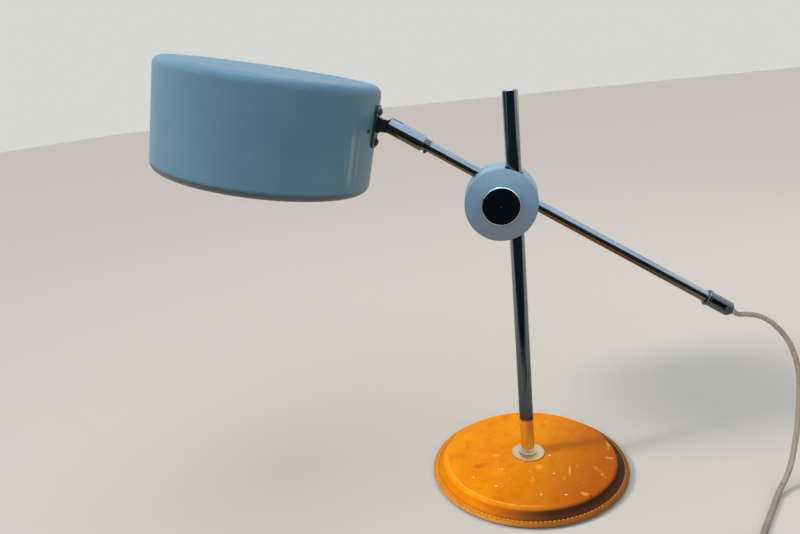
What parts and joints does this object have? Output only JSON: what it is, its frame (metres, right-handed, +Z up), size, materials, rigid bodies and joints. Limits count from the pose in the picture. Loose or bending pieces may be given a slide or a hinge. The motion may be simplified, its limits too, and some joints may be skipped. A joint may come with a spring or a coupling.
{
  "type": "desk lamp",
  "caption": "Desk lamp: leather covered round foot, chrome upright, rod clamp with hand wheel, sliding tilting arm, drum shade on a knuckle, cord with switch and plug.",
  "frame": {"origin": "on the table, under the middle of the round foot and the upright", "axes": "+Z up along the upright; the arm lies along X, its shade towards -X and its tail towards +X; the hand wheel faces -Y"},
  "size_m": [0.6081, 0.3656, 0.4485],
  "materials": {
    "leather": "cognac leather, semi-matt, scuffed",
    "felt": "black felt",
    "cast_iron": "raw casting",
    "steel": "zinc plated",
    "chrome": "polished chrome plate",
    "blue_paint": "satin blue-grey enamel",
    "black_steel": "blackened steel",
    "nylon": "natural nylon",
    "brass": "bright brass",
    "rubber": "dark grey rubber",
    "cord": "grey-white plastic sheath",
    "wire": "white sleeving",
    "bakelite": "black moulded phenolic",
    "glass": "clear bulb glass, frosted inside",
    "tie": "black strap",
    "white_plastic": "moulded plastic",
    "rocker_plastic": "moulded plastic"
  },
  "bodies": {
    "base": {"base_pad": "felt", "base_weight": "cast_iron", "base_shell": "steel", "leather_cover": "leather", "pole_flange": "chrome", "foot_stud": "steel", "foot_washer": "steel", "foot_nut": "steel", "cord_stretch": "cord", "cord_lead": "cord", "cord_coil": "cord", "cord_end": "cord", "cord_tie": "tie", "switch_lower": "white_plastic", "switch_upper": "white_plastic", "switch_contacts": "brass", "switch_screws": "steel", "plug_body": "white_plastic", "plug_pins": "chrome"},
    "pole": {"pole_tube": "chrome", "pole_top_plug": "chrome"},
    "clamp": {"pole_liner": "nylon", "clamp_body": "blue_paint", "clamp_stud": "steel", "stud_washer": "steel", "stud_nut": "chrome"},
    "wheel": {"hand_wheel": "blue_paint", "wheel_insert": "brass", "wheel_cap": "chrome"},
    "block": {"arm_block": "blue_paint"},
    "arm_slider": {"arm_liner": "nylon"},
    "arm": {"arm_tube": "chrome", "arm_collar": "chrome", "collar_screw": "black_steel", "tail_ferrule": "chrome", "grip_screw": "steel", "cord_bush": "rubber", "inner_lead": "cord"},
    "knuckle": {"knuckle_sleeve": "chrome", "knuckle_pin": "steel"},
    "shade": {"knuckle_blade": "black_steel", "hinge_plate": "black_steel", "plate_bolts": "black_steel", "plate_nuts": "steel", "shade_shell": "blue_paint", "holder_bracket": "steel", "holder_nipple": "brass", "nipple_nut": "brass", "holder_lead": "wire", "lampholder_body": "bakelite", "lampholder_ring": "bakelite", "holder_contacts": "brass", "bulb_cap": "chrome", "bulb_glass": "glass"},
    "rocker": {"switch_rocker": "rocker_plastic"}
  },
  "joints": [
    {"name": "pole_swivel", "type": "hinge", "parent": "base", "child": "pole", "pos_m": [0, 0, 0.02], "axis": [0, 0, 1], "range_deg": [-90, 90], "deforming": ["cord_stretch"]},
    {"name": "clamp_height", "type": "slide", "parent": "pole", "child": "clamp", "axis": [0, 0, 1], "range_m": [-0.11, 0.06], "deforming": ["cord_stretch"]},
    {"name": "wheel_turn", "type": "hinge", "parent": "clamp", "child": "wheel", "pos_m": [-0.013, 0, 0.2825], "axis": [0, 1, 0], "range_deg": [-30, 330]},
    {"name": "arm_tilt", "type": "hinge", "parent": "clamp", "child": "block", "pos_m": [-0.013, 0, 0.2825], "axis": [0, 1, 0], "range_deg": [-60, 30], "deforming": ["cord_stretch"]},
    {"name": "arm_roll", "type": "hinge", "parent": "block", "child": "arm_slider", "pos_m": [-0.00664, 0.0163, 0.29232], "axis": [0.8396, 0, -0.5432], "range_deg": [-90, 90], "deforming": ["cord_stretch"]},
    {"name": "arm_slide", "type": "slide", "parent": "arm_slider", "child": "arm", "axis": [0.8396, 0, -0.5432], "range_m": [-0.15, 0.04], "deforming": ["cord_stretch"]},
    {"name": "shade_roll", "type": "hinge", "parent": "arm", "child": "knuckle", "pos_m": [-0.11042, 0.0163, 0.35946], "axis": [0.8396, 0, -0.5432], "range_deg": [-90, 90]},
    {"name": "shade_tilt", "type": "hinge", "parent": "knuckle", "child": "shade", "pos_m": [-0.11042, 0.0163, 0.35946], "axis": [0, 1, 0], "range_deg": [-26.5, 63.5]},
    {"name": "switch_rock", "type": "hinge", "parent": "base", "child": "rocker", "pos_m": [0.16969, -0.14832, 0.0126], "axis": [0.9063, -0.4226, 0], "range_deg": [-16, 0]}
  ]
}
